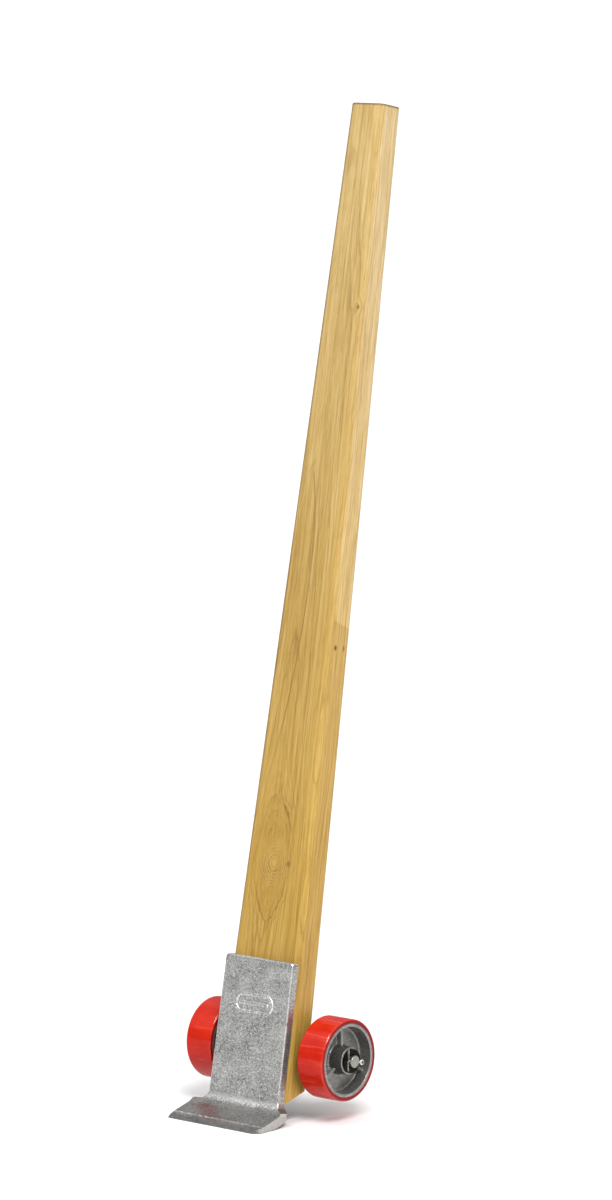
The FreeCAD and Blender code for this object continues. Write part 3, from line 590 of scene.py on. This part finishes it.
SLOTS = {
    "lacquered_hardwood": hardwood(),
    "galvanised_casting": cast_metal("galvanised_casting", ZINC_DARK, ZINC_LIGHT, nose_marks_and_painted_light,
                                     metallic=0.80, roughness=0.36, edge=0.80, glints=0.9),
    "grey_cast_iron": cast_metal("grey_cast_iron", IRON_DARK, IRON_LIGHT, centre_recess_shade,
                                 metallic=0.60, roughness=0.38, edge=0.85, glints=0.4),
    "red_polyurethane": polyurethane(),
    "dark_plated_steel": steel("dark_plated_steel", (0.060, 0.062, 0.066), 0.42, dirt=0.5),
    "bright_steel": steel("bright_steel", (0.385, 0.375, 0.33), 0.34, (0.06, 1.0, 1.0), touch=wire_highlight),
    "zinc_plated_steel": steel("zinc_plated_steel", (0.74, 0.73, 0.68), 0.40),
    "bearing_steel": steel("bearing_steel", (0.42, 0.42, 0.41), 0.25, (0.05, 1.0, 1.0)),
    "black_oxide_steel": steel("black_oxide_steel", (0.0150, 0.0140, 0.0095), 0.45, dirt=0.5),
}

for part in frame["record"]["subparts"]:
    data = NODES[part["node"]].data
    data.materials.clear()
    data.materials.append(SLOTS[part["material_slot"]])


# ---- castings' skins -----------------------------------------------------------------------------
def placed(name, data):
    """A new object in the scene."""
    obj = bpy.data.objects.new(name, data)
    bpy.context.scene.collection.objects.link(obj)
    return obj


def apply_modifiers(obj):
    """Turns an object's modifiers into its mesh."""
    bpy.context.view_layer.update()
    graph = bpy.context.evaluated_depsgraph_get()
    made = bpy.data.meshes.new_from_object(obj.evaluated_get(graph), depsgraph=graph)
    made.materials.clear()
    obj.modifiers.clear()
    obj.data = made


def waviness(point):
    """The as-cast face's rise and fall at a point, from broad waves and finer ones, mostly inwards."""
    return 0.6 * noise.noise(point * 45.0) + 0.4 * noise.noise(point * 190.0) - 0.35


def rough_casting(node, body, slot, voxel, relief):
    """A casting's skin over its CAD node: closed, evenly meshed, with soft edges and a wavy as-cast face."""
    obj = placed(node + "_skin", NODES[node].data.copy())
    remesh = obj.modifiers.new("skin", "REMESH")
    remesh.mode = "VOXEL"
    remesh.voxel_size = voxel
    soften = obj.modifiers.new("soften", "SMOOTH")
    soften.factor = 0.5
    soften.iterations = 1
    apply_modifiers(obj)
    mesh = obj.data
    points = np.empty(len(mesh.vertices) * 3, np.float32)
    normals = np.empty(len(mesh.vertices) * 3, np.float32)
    mesh.vertices.foreach_get("co", points)
    mesh.vertices.foreach_get("normal", normals)
    points, normals = points.reshape(-1, 3), normals.reshape(-1, 3)
    push = np.array([waviness(Vector(point)) for point in points], np.float32) * relief
    points = np.clip(points + normals * push[:, None], *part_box(node))
    mesh.vertices.foreach_set("co", points.ravel())
    mesh.polygons.foreach_set("use_smooth", [True] * len(mesh.polygons))
    mesh.materials.append(SLOTS[slot])
    mesh.update()
    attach(obj, body)
    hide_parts(node)


rough_casting("nose_casting", "lever", "galvanised_casting", voxel=0.0007, relief=0.00030)
for side in SIDES:
    rough_casting(f"wheel_core_{side}", f"wheel_{side}", "grey_cast_iron", voxel=0.0008, relief=0.00012)


# ---- floor, lights and camera --------------------------------------------------------------------
FLOOR_HALF = 300.0
WALL_LIGHT, CEILING_LIGHT = 0.28, 0.95
MIDDLE = (0.0, 0.15, 0.6)
CAMERA_PLACE, CAMERA_TARGET = (5.4607, -6.1096, 1.8608), (0.0528, 0.1357, 0.7996)
CAMERA_LENS, CAMERA_SENSOR = 164.25, 36.0       # in mm


def floor():
    mesh = bpy.data.meshes.new("studio_floor")
    corners = [(x * FLOOR_HALF, y * FLOOR_HALF, 0) for x, y in ((-1, -1), (1, -1), (1, 1), (-1, 1))]
    mesh.from_pydata(corners, [], [(0, 1, 2, 3)])
    mesh.materials.append(studio_floor())
    obj = placed("studio_floor", mesh)
    obj.location.z = -0.0005


def look_at(obj, place, target):
    obj.location = place
    obj.rotation_mode = "QUATERNION"
    obj.rotation_quaternion = (Vector(target) - Vector(place)).to_track_quat("-Z", "Y")


def softbox(name, place, target, width, height, watts):
    light = bpy.data.lights.new(name, "AREA")
    light.shape = "RECTANGLE"
    light.size, light.size_y = width, height
    light.energy = watts
    look_at(placed(name, light), place, target)


def sunshine(direction, strength, spread):
    """A very large, far softbox: even light from one side over the whole floor."""
    light = bpy.data.lights.new("key", "SUN")
    light.energy = strength
    light.angle = math.radians(spread)
    look_at(placed("key", light), direction, (0.0, 0.0, 0.0))


def world():
    """White studio: paper-white to the camera, and to the object a bright ceiling over dim walls."""
    scene = bpy.context.scene
    scene.world = bpy.data.worlds.new("studio")
    scene.world.use_nodes = True
    tree = scene.world.node_tree
    background = tree.nodes["Background"]
    height = tree.nodes.new("ShaderNodeSeparateXYZ")
    tree.links.new(tree.nodes.new("ShaderNodeTexCoord").outputs["Generated"], height.inputs[0])
    walls = tree.nodes.new("ShaderNodeMapRange")
    walls.interpolation_type = "SMOOTHSTEP"
    for name, value in (("From Min", 0.10), ("From Max", 0.85), ("To Min", WALL_LIGHT),
                        ("To Max", CEILING_LIGHT)):
        walls.inputs[name].default_value = value
    tree.links.new(height.outputs["Z"], walls.inputs["Value"])
    seen = tree.nodes.new("ShaderNodeMath")
    seen.operation = "MAXIMUM"
    tree.links.new(tree.nodes.new("ShaderNodeLightPath").outputs["Is Camera Ray"], seen.inputs[0])
    tree.links.new(walls.outputs[0], seen.inputs[1])
    tree.links.new(seen.outputs[0], background.inputs["Strength"])
    background.inputs["Color"].default_value = (1.0, 1.0, 1.0, 1.0)
    scene.view_settings.view_transform = "Standard"


def camera():
    data = bpy.data.cameras.new("camera")
    data.sensor_width = CAMERA_SENSOR
    data.lens = CAMERA_LENS
    data.clip_end = 1000.0
    obj = placed("camera", data)
    look_at(obj, CAMERA_PLACE, CAMERA_TARGET)
    bpy.context.scene.camera = obj


floor()
world()
sunshine((0.52, -0.42, 0.74), strength=2.2, spread=22.0)
softbox("overhead", (-0.1, -1.1, 2.8), MIDDLE, width=0.7, height=0.7, watts=16.0)
softbox("right", (2.6, -0.3, 1.9), MIDDLE, width=0.7, height=1.6, watts=9.0)
softbox("left", (-1.84, -1.30, 1.87), AXLE, width=1.3, height=1.0, watts=2.2)
camera()
